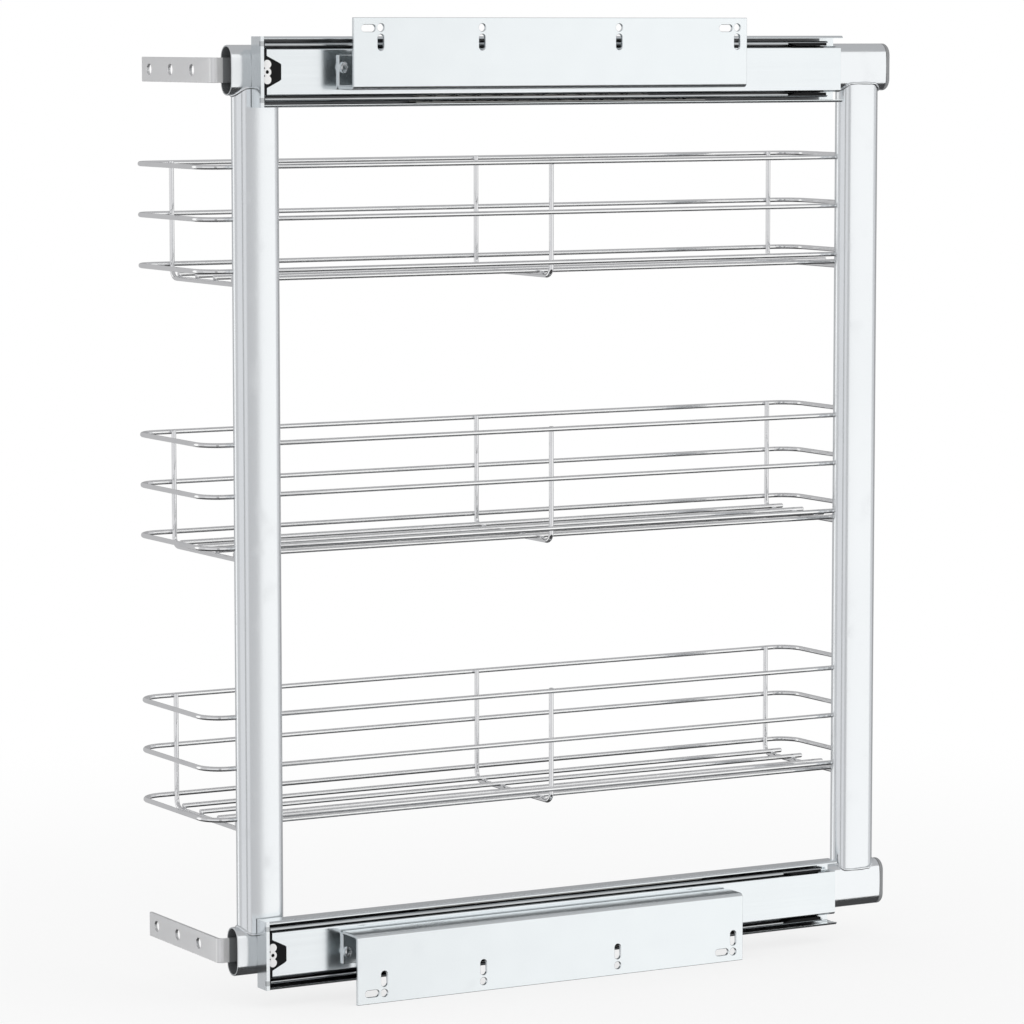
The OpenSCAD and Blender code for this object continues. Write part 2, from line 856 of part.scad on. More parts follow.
module bottom_panel_bracket() color("silver") in_place() panel_bracket(BOTTOM);
module top_bracket_screws() color("lightgray") in_place() bracket_screws(TOP);
module bottom_bracket_screws() color("lightgray") in_place() bracket_screws(BOTTOM);

// ring 0 is a basket's bottom ring and ring 2 its top one
module basket_ring(basket, level) color("silver") in_place() ring(basket_z[basket] + level * ring_pitch);
module basket_cross(basket) color("silver") in_place() cross_wires(basket_z[basket]);
module basket_floor(basket) color("silver") in_place() floor_wires_of(basket_z[basket]);
module lower_basket_bottom_ring() basket_ring(0, 0);
module lower_basket_middle_ring() basket_ring(0, 1);
module lower_basket_top_ring() basket_ring(0, 2);
module middle_basket_bottom_ring() basket_ring(1, 0);
module middle_basket_middle_ring() basket_ring(1, 1);
module middle_basket_top_ring() basket_ring(1, 2);
module upper_basket_bottom_ring() basket_ring(2, 0);
module upper_basket_middle_ring() basket_ring(2, 1);
module upper_basket_top_ring() basket_ring(2, 2);
module lower_basket_cross_wires() basket_cross(0);
module middle_basket_cross_wires() basket_cross(1);
module upper_basket_cross_wires() basket_cross(2);
module lower_basket_floor_wires() basket_floor(0);
module middle_basket_floor_wires() basket_floor(1);
module upper_basket_floor_wires() basket_floor(2);

top_mounting_plate();
bottom_mounting_plate();
top_plate_screws();
bottom_plate_screws();
top_cabinet_rail();
bottom_cabinet_rail();
top_middle_rail();
bottom_middle_rail();
top_middle_rail_stops();
bottom_middle_rail_stops();
top_inner_ball_cage();
bottom_inner_ball_cage();
top_outer_ball_cage();
bottom_outer_ball_cage();
top_inner_balls();
bottom_inner_balls();
top_outer_balls();
bottom_outer_balls();
top_frame_rail();
bottom_frame_rail();
top_rail_catch();
bottom_rail_catch();
top_catch_plate();
bottom_catch_plate();
top_rail_rivets();
bottom_rail_rivets();
top_tube();
bottom_tube();
front_post();
rear_post();
top_tube_end_cap();
bottom_tube_end_cap();
top_panel_bracket();
bottom_panel_bracket();
top_bracket_screws();
bottom_bracket_screws();
lower_basket_bottom_ring();
lower_basket_middle_ring();
lower_basket_top_ring();
middle_basket_bottom_ring();
middle_basket_middle_ring();
middle_basket_top_ring();
upper_basket_bottom_ring();
upper_basket_middle_ring();
upper_basket_top_ring();
lower_basket_cross_wires();
middle_basket_cross_wires();
upper_basket_cross_wires();
lower_basket_floor_wires();
middle_basket_floor_wires();
upper_basket_floor_wires();
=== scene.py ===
import json
import math

import bmesh
import bpy
from mathutils import Matrix, Vector

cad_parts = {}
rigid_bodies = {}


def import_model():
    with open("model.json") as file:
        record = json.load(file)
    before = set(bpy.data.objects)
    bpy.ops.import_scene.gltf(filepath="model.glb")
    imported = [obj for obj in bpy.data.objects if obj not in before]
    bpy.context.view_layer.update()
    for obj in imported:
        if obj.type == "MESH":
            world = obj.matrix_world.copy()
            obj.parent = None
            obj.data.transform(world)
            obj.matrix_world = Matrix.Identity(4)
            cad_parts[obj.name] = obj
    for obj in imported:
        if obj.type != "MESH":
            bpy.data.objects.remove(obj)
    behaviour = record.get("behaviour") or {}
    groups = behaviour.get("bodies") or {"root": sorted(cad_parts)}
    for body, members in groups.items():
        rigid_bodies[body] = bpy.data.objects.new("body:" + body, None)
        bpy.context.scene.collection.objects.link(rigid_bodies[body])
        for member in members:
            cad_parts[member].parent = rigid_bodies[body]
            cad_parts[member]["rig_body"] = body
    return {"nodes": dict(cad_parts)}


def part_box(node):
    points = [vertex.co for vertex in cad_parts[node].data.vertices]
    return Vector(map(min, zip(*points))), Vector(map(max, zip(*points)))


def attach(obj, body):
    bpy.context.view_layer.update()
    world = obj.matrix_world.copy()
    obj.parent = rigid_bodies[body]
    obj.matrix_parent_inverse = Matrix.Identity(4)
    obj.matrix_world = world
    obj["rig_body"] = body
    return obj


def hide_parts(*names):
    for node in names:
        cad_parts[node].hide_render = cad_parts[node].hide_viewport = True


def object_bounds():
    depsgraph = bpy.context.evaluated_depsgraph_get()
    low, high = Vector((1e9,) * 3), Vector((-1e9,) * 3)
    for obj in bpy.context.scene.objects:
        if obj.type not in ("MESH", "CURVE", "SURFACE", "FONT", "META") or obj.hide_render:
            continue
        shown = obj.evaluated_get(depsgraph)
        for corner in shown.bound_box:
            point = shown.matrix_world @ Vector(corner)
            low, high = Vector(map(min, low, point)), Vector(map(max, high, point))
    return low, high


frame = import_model()
cad_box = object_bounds()

MM = 0.001
LEVELS = ("top", "bottom")


# ---- Camera ----
# The camera stands ahead of the tubes' open mouths and a little over the frame's middle, 2.8 m
# away, and looks past the cabinet side of the frame with a long lens.
camera_data = bpy.data.cameras.new("camera")
camera_data.sensor_width = 36
camera_data.lens = 159.0
camera_data.shift_x = -0.01006
camera_data.clip_start = 0.1
camera_data.clip_end = 80
camera = bpy.data.objects.new("camera", camera_data)
bpy.context.scene.collection.objects.link(camera)
bpy.context.scene.camera = camera

azimuth, elevation, roll = (math.radians(turn) for turn in (-29.645, 6.072, -0.023))
backward = Vector((
    math.sin(azimuth) * math.cos(elevation),
    -math.cos(azimuth) * math.cos(elevation),
    math.sin(elevation),
))
level_right = Vector((math.cos(azimuth), math.sin(azimuth), 0))
level_up = backward.cross(level_right)
camera_right = level_right * math.cos(roll) + level_up * math.sin(roll)
camera_up = level_up * math.cos(roll) - level_right * math.sin(roll)
turned = Matrix((camera_right, camera_up, backward)).transposed().to_4x4()
camera.matrix_world = Matrix.Translation((-1.38864, -2.38962, 0.28964)) @ turned


# ---- Studio ----
# A white room with a pale floor, lit from all round and by three wide soft lamps. Grey cards stand
# round the object, over it and under it, so that polished metal has something to mirror; the gap at
# the camera's right keeps the broad faces white. Only reflections see the cards.
class Tap:
    """One output socket of a node tree. A sum written with it adds Math nodes to that tree."""

    def __init__(self, tree, socket):
        self.tree, self.socket = tree, socket

    def node(self, kind, inputs=None, out=0, **settings):
        """A new node: its type, its settings, and the values or links of its sockets."""
        made = self.tree.nodes.new(kind)
        for name, value in settings.items():
            setattr(made, name, value)
        for key, value in (inputs or {}).items():
            if isinstance(value, Tap):
                self.tree.links.new(value.socket, made.inputs[key])
            else:
                made.inputs[key].default_value = value
        return Tap(self.tree, made.outputs[out])

    def other(self, name):
        """Another output of the same node."""
        return Tap(self.tree, self.socket.node.outputs[name])

    def into(self, shader, socket):
        """Links this output to a shader's socket."""
        self.tree.links.new(self.socket, shader.inputs[socket])

    def maths(self, operation, first, second):
        return self.node("ShaderNodeMath", {0: first, 1: second}, operation=operation)

    def __add__(self, other):
        return self.maths("ADD", self, other)

    def __sub__(self, other):
        return self.maths("SUBTRACT", self, other)

    def __rsub__(self, other):
        return self.maths("SUBTRACT", other, self)

    def __mul__(self, other):
        return self.maths("MULTIPLY", self, other)

    def __abs__(self):
        return self.maths("ABSOLUTE", self, 0.0)

    __radd__ = __add__


room_light = 0.8   # what the room gives matt surfaces; seen or mirrored it is full white
world = bpy.data.worlds.new("white_room")
bpy.context.scene.world = world
world.use_nodes = True
room = world.node_tree.nodes["Background"]
rays = Tap(world.node_tree, world.node_tree.nodes.new("ShaderNodeLightPath").outputs["Is Camera Ray"])
seen = rays + rays.other("Is Glossy Ray") + rays.other("Is Transmission Ray")
room.inputs["Color"].default_value = (1, 1, 1, 1)
(seen * (1 - room_light) + room_light).into(room, "Strength")

bpy.context.scene.view_settings.view_transform = "Standard"


def soft_lamp(name, place, size, power):
    """A square lamp that faces the object; its size is in metres and its power in watts."""
    lamp = bpy.data.lights.new(name, "AREA")
    lamp.size = size
    lamp.energy = power
    holder = bpy.data.objects.new(name, lamp)
    bpy.context.scene.collection.objects.link(holder)
    holder.location = place
    holder.rotation_euler = Vector(place).to_track_quat("Z", "Y").to_euler()
    holder.visible_glossy = False


soft_lamp("key_lamp", (2.3, -2.9, 1.7), size=3.0, power=26)
soft_lamp("fill_lamp", (-3.4, -0.9, 1.4), size=2.4, power=10)
soft_lamp("back_lamp", (0.8, 3.2, 2.2), size=2.4, power=9)


def stage_mesh(name, points, faces):
    """A floor or card from its corners, which isn't part of the object."""
    mesh = bpy.data.meshes.new(name)
    mesh.from_pydata(points, [], faces)
    made = bpy.data.objects.new(name, mesh)
    bpy.context.scene.collection.objects.link(made)
    return made


floor_size = 9.0   # half its width
floor = stage_mesh(
    "floor",
    [(x * floor_size, y * floor_size, cad_box[0].z) for x, y in ((-1, -1), (1, -1), (1, 1), (-1, 1))],
    [(0, 1, 2, 3)],
)
floor.visible_glossy = False
paper = bpy.data.materials.new("white_paper")
paper.use_nodes = True
paper_tree = paper.node_tree
sheet = paper_tree.nodes["Principled BSDF"]
sheet.inputs["Roughness"].default_value = 0.9
sheet.inputs["Specular IOR Level"].default_value = 0.1
where = Tap(paper_tree, paper_tree.nodes.new("ShaderNodeTexCoord").outputs["Object"])
grain = where.node("ShaderNodeTexNoise", {"Vector": where, "Scale": 3.0, "Detail": 4.0})
where.node(
    "ShaderNodeMix", {0: grain, 6: (0.86, 0.86, 0.86, 1), 7: (0.89, 0.89, 0.89, 1)},
    out=2, data_type="RGBA",
).into(sheet, "Base Color")
# the lens sees plain white from a metre out, so that the floor runs into the white room
paper_white = where.node("ShaderNodeEmission", {"Color": (1, 1, 1, 1), "Strength": 1.0})
lens_sees = where.node("ShaderNodeLightPath", out="Is Camera Ray")
away = where.node("ShaderNodeVectorMath", {0: where}, out="Value", operation="LENGTH")
fade = away.node(
    "ShaderNodeMapRange", {"Value": away, "From Min": 0.35, "From Max": 1.1, "To Min": 0.76, "To Max": 1.0},
    interpolation_type="SMOOTHSTEP",
)
paper_mix = where.node(
    "ShaderNodeMixShader", {0: lens_sees * fade, 1: Tap(paper_tree, sheet.outputs[0]), 2: paper_white}
)
paper_mix.into(paper_tree.nodes["Material Output"], "Surface")
floor.data.materials.append(paper)


def grey_card(name, points, faces, grey):
    """A card that only mirror-like surfaces see."""
    card = stage_mesh(name, points, faces)
    card.visible_camera = card.visible_diffuse = card.visible_shadow = False
    card.visible_transmission = card.visible_volume_scatter = False
    shade = bpy.data.materials.new(name)
    shade.use_nodes = True
    start = Tap(shade.node_tree, shade.node_tree.nodes["Principled BSDF"].outputs[0])
    glow = start.node("ShaderNodeEmission", {"Color": (grey, grey, grey * 1.02, 1), "Strength": 1.0})
    glow.into(shade.node_tree.nodes["Material Output"], "Surface")
    card.data.materials.append(shade)


def round_points(radius, height, first, last, count):
    """Points on a level arc, its angles counted from -Y towards +X in degrees."""
    turns = [math.radians(first + (last - first) * i / count) for i in range(count + 1)]
    return [(radius * math.sin(t), -radius * math.cos(t), height) for t in turns]


card_ring = 5.4   # how far the standing cards are from the object
card_foot = -4.0
card_steps = 16


def wall_card(name, first, last, grey, high=3.0):
    """A standing card, bent round the object between two angles."""
    foot = round_points(card_ring, card_foot, first, last, card_steps)
    head = round_points(card_ring, high, first, last, card_steps)
    faces = [(i, i + 1, i + card_steps + 2, i + card_steps + 1) for i in range(card_steps)]
    grey_card(name, foot + head, faces, grey)


def level_card(name, radius, height, grey):
    """A round card that lies level, its rim in steps of 8 degrees."""
    rim = round_points(radius, height, 0, 352, 44)
    grey_card(name, rim, [tuple(range(len(rim)))], grey)


# the two cards in front end low: over them, rounded upper edges mirror the white room
wall_card("far_left_card", -122, -88, 0.60)
wall_card("left_card", -88, -36, 0.74)
wall_card("lens_card", -36, -25, 0.42)
wall_card("front_card", -25, 3, 0.74, high=1.1)
wall_card("camera_card", 3, 22.5, 0.55, high=1.1)
wall_card("right_card", 56, 84, 0.66)
wall_card("rear_right_card", 84, 165, 0.38)
wall_card("rear_card", 165, 215, 0.49)
level_card("card_over", 5.6, 3.0, 0.47)
level_card("card_under", 4.2, -2.5, 0.06)


# ---- Tubes ----
# Two flat-oval steel tubes run from front to back and carry the slides. They are drawn from thin
# strip, welded along the seam and finished in bright satin silver. Their front mouths are left open
# and show the inside, which the finish doesn't reach: it is duller, and its dark grey is painted shade.
def finish(name, **constants):
    """A new material, its shader with the values that are the same all over, and Object coordinates."""
    material = bpy.data.materials.new(name)
    material.use_nodes = True
    tree = material.node_tree
    shader = tree.nodes["Principled BSDF"]
    for socket, value in constants.items():
        shader.inputs[socket.replace("_", " ")].default_value = value
    return material, shader, Tap(tree, tree.nodes.new("ShaderNodeTexCoord").outputs["Object"])


def cloudy(place, scale, detail=2.0, stretch=None):
    """Soft blotches, or lines along an axis where the stretch is small."""
    if stretch:
        place = place.node("ShaderNodeMapping", {"Vector": place, "Scale": stretch})
    return place.node("ShaderNodeTexNoise", {"Vector": place, "Scale": scale, "Detail": detail})


def between(mask, first, second):
    """A colour that goes from the first to the second with the mask. The first may be a Tap."""
    first = first if isinstance(first, Tap) else (*first, 1)
    return mask.node("ShaderNodeMix", {0: mask, 6: first, 7: (*second, 1)}, out=2, data_type="RGBA")


def sharpened(mask, low, high):
    """The mask, from 0 at low to 1 at high."""
    return mask.node("ShaderNodeMapRange", {"Value": mask, "From Min": low, "From Max": high})


def dented(shader, height, depth, strength=1.0):
    """Bumps of that depth in metres."""
    height.node(
        "ShaderNodeBump", {"Height": height, "Distance": depth, "Strength": strength}, out="Normal"
    ).into(shader, "Normal")


satin_silver, shader, place = finish("satin_silver")
draw_lines = cloudy(place, 1.0, 3.0, stretch=(6, 1100, 6))
mist = cloudy(place, 9.0, 3.0)
flakes = cloudy(place, 2600.0, 1.0)
inside = place.node("ShaderNodeAttribute", out="Fac", attribute_name="inside")
silver = between(mist * 0.7 + flakes * 0.3, (0.935, 0.962, 0.975), (0.88, 0.905, 0.925))
# inside the tubes the base colour is dark grey: duller bare steel, and painted shade
between(inside, silver, (0.15, 0.158, 0.165)).into(shader, "Base Color")
(1 - inside * 0.8).into(shader, "Metallic")
rubbed = sharpened(cloudy(place, 55.0, 4.0), 0.58, 0.72)
(0.12 + mist * 0.06 + draw_lines * 0.04 + rubbed * 0.08 + inside * 0.4).into(shader, "Roughness")
dented(shader, flakes * 0.5 + draw_lines, 0.006 * MM, strength=0.6)

tube_wall = 1.1 * MM
tube_crown = 0.22 * MM   # how much the broad faces fall away towards their edges


def oval(high, wide, crown):
    """Outline of a flat oval as (across, along) pairs, its long side along the second number."""
    arc_steps, flat_steps = 12, 8
    radius = wide / 2 - crown
    straight = high / 2 - radius
    points = []
    for side in (1, -1):
        for i in range(flat_steps + 1):
            along = straight * (2 * i / flat_steps - 1)
            points.append((side * (wide / 2 - crown * (along / straight) ** 2), side * along))
        for i in range(1, arc_steps):
            turn = math.pi * i / arc_steps
            points.append((side * radius * math.cos(turn), side * (straight + radius * math.sin(turn))))
    return points


def new_piece(name, mesh, material=None, smooth=38):
    """An object at the origin. Edges that turn by more than the angle in degrees stay crisp."""
    piece = bpy.data.objects.new(name, mesh)
    bpy.context.scene.collection.objects.link(piece)
    if material:
        mesh.materials.clear()
        mesh.materials.append(material)
    mesh.shade_smooth()
    mesh.set_sharp_from_angle(angle=math.radians(smooth))
    return piece


def loops_to_mesh(name, loops):
    """Closed skin over rings of points, from each ring to the next and from the last to the first."""
    count = len(loops[0])
    faces = []
    for j in range(len(loops)):
        a, b = j * count, (j + 1) % len(loops) * count
        faces += [(a + i, a + (i + 1) % count, b + (i + 1) % count, b + i) for i in range(count)]
    mesh = bpy.data.meshes.new(name)
    mesh.from_pydata([point for loop in loops for point in loop], [], faces)
    outward(mesh)
    return mesh


def outward(mesh):
    """Turns every face of a closed mesh outwards."""
    work = bmesh.new()
    work.from_mesh(mesh)
    bmesh.ops.recalc_face_normals(work, faces=work.faces)
    work.to_mesh(mesh)
    work.free()


def baked(piece):
    """Applies the piece's modifiers, so that what is left is a plain mesh."""
    evaluated = piece.evaluated_get(bpy.context.evaluated_depsgraph_get())
    mesh = bpy.data.meshes.new_from_object(evaluated)
    piece.modifiers.clear()
    piece.data = mesh
    return piece


def rounded(piece, width, angle=38, clamped=True):
    """Breaks the piece's edges that turn by more than the angle in degrees, as tumbling does.

    Clamped, the smallest face limits the width all over the piece. A folded sheet with small faces
    at its bends is left unclamped, so that its long edges get the full width.
    """
    bevel = piece.modifiers.new("edges", "BEVEL")
    bevel.width = width
    bevel.segments = 2
    bevel.limit_method = "ANGLE"
    bevel.angle_limit = math.radians(angle)
    bevel.harden_normals = not clamped
    bevel.use_clamp_overlap = clamped
    bevel.loop_slide = clamped
    if clamped:
        normals = piece.modifiers.new("normals", "WEIGHTED_NORMAL")
        normals.keep_sharp = True
    baked(piece)
    return piece


def stands_for(piece, slot, *nodes):
    """The piece moves with its CAD nodes' body and is shown in their place. The slot is not used."""
    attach(piece, frame["nodes"][nodes[0]]["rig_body"])
    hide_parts(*nodes)


tube_box = {level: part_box(f"{level}_tube") for level in LEVELS}
for level in LEVELS:
    low, high = tube_box[level]
    mid_y, mid_z = (low.y + high.y) / 2, (low.z + high.z) / 2
    outer = oval(high.z - low.z, high.y - low.y, tube_crown)
    inner = oval(high.z - low.z - 2 * tube_wall, high.y - low.y - 2 * tube_wall, tube_crown)
    loops = [
        [(x, mid_y + across, mid_z + along) for across, along in outline]
        for outline, x in ((outer, low.x), (outer, high.x), (inner, high.x), (inner, low.x))
    ]
    tube = new_piece(f"tube_{level}", loops_to_mesh(f"tube_{level}", loops), satin_silver)
    # the inside walls are marked for the duller steel and the painted shade
    bare_and_shaded = tube.data.attributes.new("inside", "FLOAT", "POINT")
    for i in range(len(inner) * 2, len(inner) * 4):
        bare_and_shaded.data[i].value = 1.0
    rounded(tube, 0.3 * MM, angle=60)
    stands_for(tube, "tube_silver", f"{level}_tube")


# ---- Posts ----
# Two flat-oval uprights join the tubes. Their ends are coped to sit on the round of the tubes and
# are welded all round; the weld beads are finished over in the same silver.
post_wall = 1.1 * MM
post_crown = 0.4 * MM
tube_radius = (tube_box["top"][1].y - tube_box["top"][0].y) / 2
tube_mid_y = (tube_box["top"][1].y + tube_box["top"][0].y) / 2
round_low = tube_box["bottom"][1].z - tube_radius
round_high = tube_box["top"][0].z + tube_radius
weld_bead = 0.9 * MM   # radius of a bead
bead_steps, bead_sides = 96, 8
corner_reach = tube_radius * 0.93   # how far a bead runs out round the post's round sides


def cope_height(across, upper):
    """Height of the lower tube's round top, or of the upper tube's round underside."""
    rise = math.sqrt(max(tube_radius * tube_radius - across * across, 0))
    return round_high - rise if upper else round_low + rise


for name in ("front", "rear"):
    low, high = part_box(f"{name}_post")
    mid_x = (low.x + high.x) / 2
    outer = oval(high.x - low.x, high.y - low.y, post_crown)
    inner = oval(high.x - low.x - 2 * post_wall, high.y - low.y - 2 * post_wall, post_crown)
    loops = []
    for outline, ends in ((outer, (False, True)), (inner, (True, False))):
        for upper in ends:
            loops.append([
                (mid_x + along, tube_mid_y + across, cope_height(across, upper))
                for across, along in outline
            ])
    post = new_piece(f"post_{name}", loops_to_mesh(f"post_{name}", loops), satin_silver)
    rounded(post, 0.2 * MM, angle=60)
    stands_for(post, "tube_silver", f"{name}_post")

    # one bead at each end of the post, rippled as the weld pool left it
    beads = bpy.data.meshes.new(f"post_welds_{name}")
    work = bmesh.new()
    flat_half = (high.x - low.x - (high.y - low.y)) / 2
    for upper in (False, True):
        path = []
        for i in range(bead_steps):
            turn = 2 * math.pi * i / bead_steps
            along = math.cos(turn)
            x = math.copysign(flat_half, along) * min(1, abs(along) * 6) + corner_reach * along
            y = (high.y - low.y) / 2 * math.sin(turn)
            path.append(Vector((mid_x + x, tube_mid_y + y, cope_height(y, upper))))
        rings = []
        for i, point in enumerate(path):
            ahead = (path[(i + 1) % bead_steps] - path[i - 1]).normalized()
            out = Vector((point.x - mid_x, point.y - tube_mid_y, 0)).normalized()
            side = ahead.cross(out).normalized()
            out = side.cross(ahead)
            size = weld_bead * (1 + 0.16 * math.sin(i * 2.1) + 0.07 * math.sin(i * 0.7))
            rings.append([
                work.verts.new(point + (out * math.cos(a) + side * math.sin(a)) * size)
                for a in (2 * math.pi * k / bead_sides for k in range(bead_sides))
            ])
        for i in range(bead_steps):
            first, second = rings[i], rings[(i + 1) % bead_steps]
            for k in range(bead_sides):
                after = (k + 1) % bead_sides
                work.faces.new((first[k], first[after], second[after], second[k]))
    bmesh.ops.recalc_face_normals(work, faces=work.faces)
    work.to_mesh(beads)
    work.free()
    welds = new_piece(f"post_welds_{name}", beads, satin_silver, smooth=80)
    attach(welds, "pull_out_frame")


# ---- End caps ----
# A moulded cap closes each tube at the back. Its plug is pushed into the tube, and its plate has a
# rounded rear edge. It is grey plastic, a shade darker than the tube.
cap_grey, shader, place = finish("cap_grey", Metallic=0.0)
mist = cloudy(place, 30.0, 3.0)
grit = cloudy(place, 1500.0, 2.0)
between(mist, (0.30, 0.305, 0.31), (0.25, 0.255, 0.262)).into(shader, "Base Color")
(0.3 + mist * 0.08 + grit * 0.06).into(shader, "Roughness")
dented(shader, grit, 0.01 * MM, strength=0.5)

same_point = 2e-6   # corners closer than this, in metres, are one


def from_node(node, name, material, width, angle=38, clamped=True):
    """A copy of a CAD node's mesh with its triangles joined and its edges broken."""
    mesh = frame["nodes"][node].data.copy()
    mesh.name = name
    work = bmesh.new()
    work.from_mesh(mesh)
    bmesh.ops.remove_doubles(work, verts=work.verts, dist=same_point)
    bmesh.ops.dissolve_limit(
        work, angle_limit=math.radians(0.4), verts=work.verts, edges=work.edges, delimit={"NORMAL"}
    )
    for edge in work.edges:
        edge.smooth = True
    for face in work.faces:
        face.smooth = True
    work.to_mesh(mesh)
    work.free()
    if mesh.has_custom_normals:
        mesh.normals_split_custom_set([(0, 0, 0)] * len(mesh.loops))
    piece = new_piece(name, mesh, material, angle)
    if width:
        rounded(piece, width, angle, clamped)
    return piece


for level in LEVELS:
    cap = from_node(f"{level}_tube_end_cap", f"tube_cap_{level}", cap_grey, 0.25 * MM, angle=50)
    stands_for(cap, "cap_plastic", f"{level}_tube_end_cap")


# ---- Panel brackets and their screws ----
# Each bracket is a steel strip, bent square. Its leg is screwed inside the tube's mouth, and its
# face has three holes for the screws of the cabinet's front panel. The strip is satin nickel.
satin_nickel, shader, place = finish("satin_nickel")
brushed = cloudy(place, 1.0, 2.0, stretch=(900, 14, 900))
stains = cloudy(place, 60.0, 3.0)
nickel = between(stains, (0.92, 0.923, 0.925), (0.84, 0.843, 0.845))
# the face ahead of the tube's mouth is polished and the leg behind it is duller; inside the tube the leg's
# colour is dark grey, painted shadow
along = place.node("ShaderNodeSeparateXYZ", {0: place}, out="X")
mouth_x = tube_box["top"][0].x
leg = sharpened(along, mouth_x - 6 * MM, mouth_x - 2 * MM)
tube_shade = sharpened(along, mouth_x - 0.3 * MM, mouth_x + 0.3 * MM)
between(tube_shade, nickel, (0.27, 0.28, 0.29)).into(shader, "Base Color")
(0.26 + brushed * 0.1 + stains * 0.06 + leg * 0.3).into(shader, "Roughness")
(1 - leg * 0.75).into(shader, "Metallic")
dented(shader, brushed, 0.012 * MM, strength=0.5)

zinc_screw, shader, place = finish("zinc_screw", Metallic=1.0)
worn = sharpened(cloudy(place, 700.0, 3.0), 0.45, 0.7)
between(worn, (0.88, 0.90, 0.91), (0.70, 0.71, 0.71)).into(shader, "Base Color")
(0.18 + worn * 0.16).into(shader, "Roughness")
dented(shader, cloudy(place, 1800.0, 1.0), 0.01 * MM, strength=0.5)


def turned_mesh(name, profile, steps):
    """A solid turned about Z from (radius, height) pairs that start and end on the axis."""
    points, faces = [], []
    ring = [None] * len(profile)
    for k, (radius, height) in enumerate(profile):
        if radius:
            ring[k] = [len(points) + i for i in range(steps)]
            turns = [2 * math.pi * i / steps for i in range(steps)]
            points += [(radius * math.cos(turn), radius * math.sin(turn), height) for turn in turns]
        else:
            ring[k] = [len(points)]
            points.append((0, 0, height))
    for one, two in zip(ring, ring[1:]):
        for i in range(steps):
            after = i + 1
            corners = [one[i % len(one)], one[after % len(one)], two[after % len(two)], two[i % len(two)]]
            faces.append(list(dict.fromkeys(corners)))
    mesh = bpy.data.meshes.new(name)
    mesh.from_pydata(points, [], faces)
    outward(mesh)
    return mesh


def pan_screw(head_radius, head_height, shank_radius, shank_length):
    """A pan-head screw with a cross recess, its head's seat at the origin and its tip along -Z."""
    dome = 1.5 * head_radius   # radius of the round that the head's top is part of
    root_radius = shank_radius * 0.8
    recess_width = 0.9 * MM
    dome_steps = 8
    profile = [(0, head_height)]
    for i in range(1, dome_steps + 1):
        radius = head_radius * i / dome_steps
        profile.append((radius, head_height - dome + math.sqrt(dome * dome - radius * radius)))
    profile += [(head_radius, 0), (shank_radius, 0)]
    # rings in place of a thread: the shank is inside the pieces that it holds
    turns = 6
    for i in range(turns):
        depth = shank_length * 0.85 * i / turns
        profile.append((shank_radius, -depth - 0.1 * MM))
        profile.append((root_radius, -depth - shank_length * 0.07))
    profile += [(root_radius, -shank_length * 0.9), (0, -shank_length)]
    screw = new_piece("screw", turned_mesh("screw", profile, steps=28))
    for turn in (0, math.pi / 2):
        box = bmesh.new()
        bmesh.ops.create_cube(box, size=1.0)
        bmesh.ops.scale(box, verts=box.verts, vec=(head_radius * 1.15, recess_width, head_height * 1.2))
        bmesh.ops.translate(box, verts=box.verts, vec=(0, 0, head_height * 1.05))
        bmesh.ops.rotate(box, verts=box.verts, matrix=Matrix.Rotation(turn, 3, "Z"))
        cutter_mesh = bpy.data.meshes.new("cutter")
        box.to_mesh(cutter_mesh)
        box.free()
        cutter = bpy.data.objects.new("cutter", cutter_mesh)
        bpy.context.scene.collection.objects.link(cutter)
        cut = screw.modifiers.new("recess", "BOOLEAN")
        cut.object = cutter
        cut.solver = "EXACT"
        baked(screw)
        bpy.data.objects.remove(cutter)
    return rounded(screw, 0.12 * MM, angle=40)


def new_tree(name, *sockets):
    """A Geometry Nodes tree with named inputs, and a Tap on its first one, the geometry."""
    tree = bpy.data.node_groups.new(name, "GeometryNodeTree")
    tree.interface.new_socket("Geometry", in_out="OUTPUT", socket_type="NodeSocketGeometry")
    tree.interface.new_socket("Geometry", in_out="INPUT", socket_type="NodeSocketGeometry")
    for socket, kind in sockets:
        tree.interface.new_socket(socket, in_out="INPUT", socket_type="NodeSocket" + kind)
    start = tree.nodes.new("NodeGroupInput")
    return tree, Tap(tree, start.outputs["Geometry"])


def end_tree(tree, geometry, material):
    """Ends a tree in Realize Instances and Set Material."""
    real = geometry.node("GeometryNodeRealizeInstances", {"Geometry": geometry})
    painted = real.node("GeometryNodeSetMaterial", {"Geometry": real, "Material": material})
    tree.links.new(painted.socket, tree.nodes.new("NodeGroupOutput").inputs[0])


def grown(name, base, tree, smooth=38, **values):
    """A mesh made by the tree from the base mesh, with its named inputs set before it is evaluated."""
    piece = bpy.data.objects.new(name, base)
    modifier = piece.modifiers.new(tree.name, "NODES")
    modifier.node_group = tree
    for item in tree.interface.items_tree:
        if item.in_out == "INPUT" and item.name in values:
            modifier[item.identifier] = values[item.name]
    bpy.context.scene.collection.objects.link(piece)
    baked(piece)
    piece.data.name = name
    piece.data.shade_smooth()
    piece.data.set_sharp_from_angle(angle=math.radians(smooth))
    return piece


# a pattern piece, copied onto points that carry a turn
copies_tree, points_in = new_tree(
    "set_out_copies", ("Pattern", "Object"), ("Spread", "Float"), ("Seed", "Int"), ("Finish", "Material")
)
pattern = points_in.node("GeometryNodeObjectInfo", {"Object": points_in.other("Pattern")}, out="Geometry")
turn = points_in.node("GeometryNodeInputNamedAttribute", {"Name": "turn"}, data_type="FLOAT_VECTOR")
spread = points_in.other("Spread")
copy_size = points_in.node(
    "FunctionNodeRandomValue",
    {2: 1 - spread, 3: 1 + spread, "Seed": points_in.other("Seed")}, out=1, data_type="FLOAT",
)
copies = points_in.node(
    "GeometryNodeInstanceOnPoints",
    {"Points": points_in, "Instance": pattern, "Rotation": turn, "Scale": copy_size},
)
end_tree(copies_tree, copies, points_in.other("Finish"))


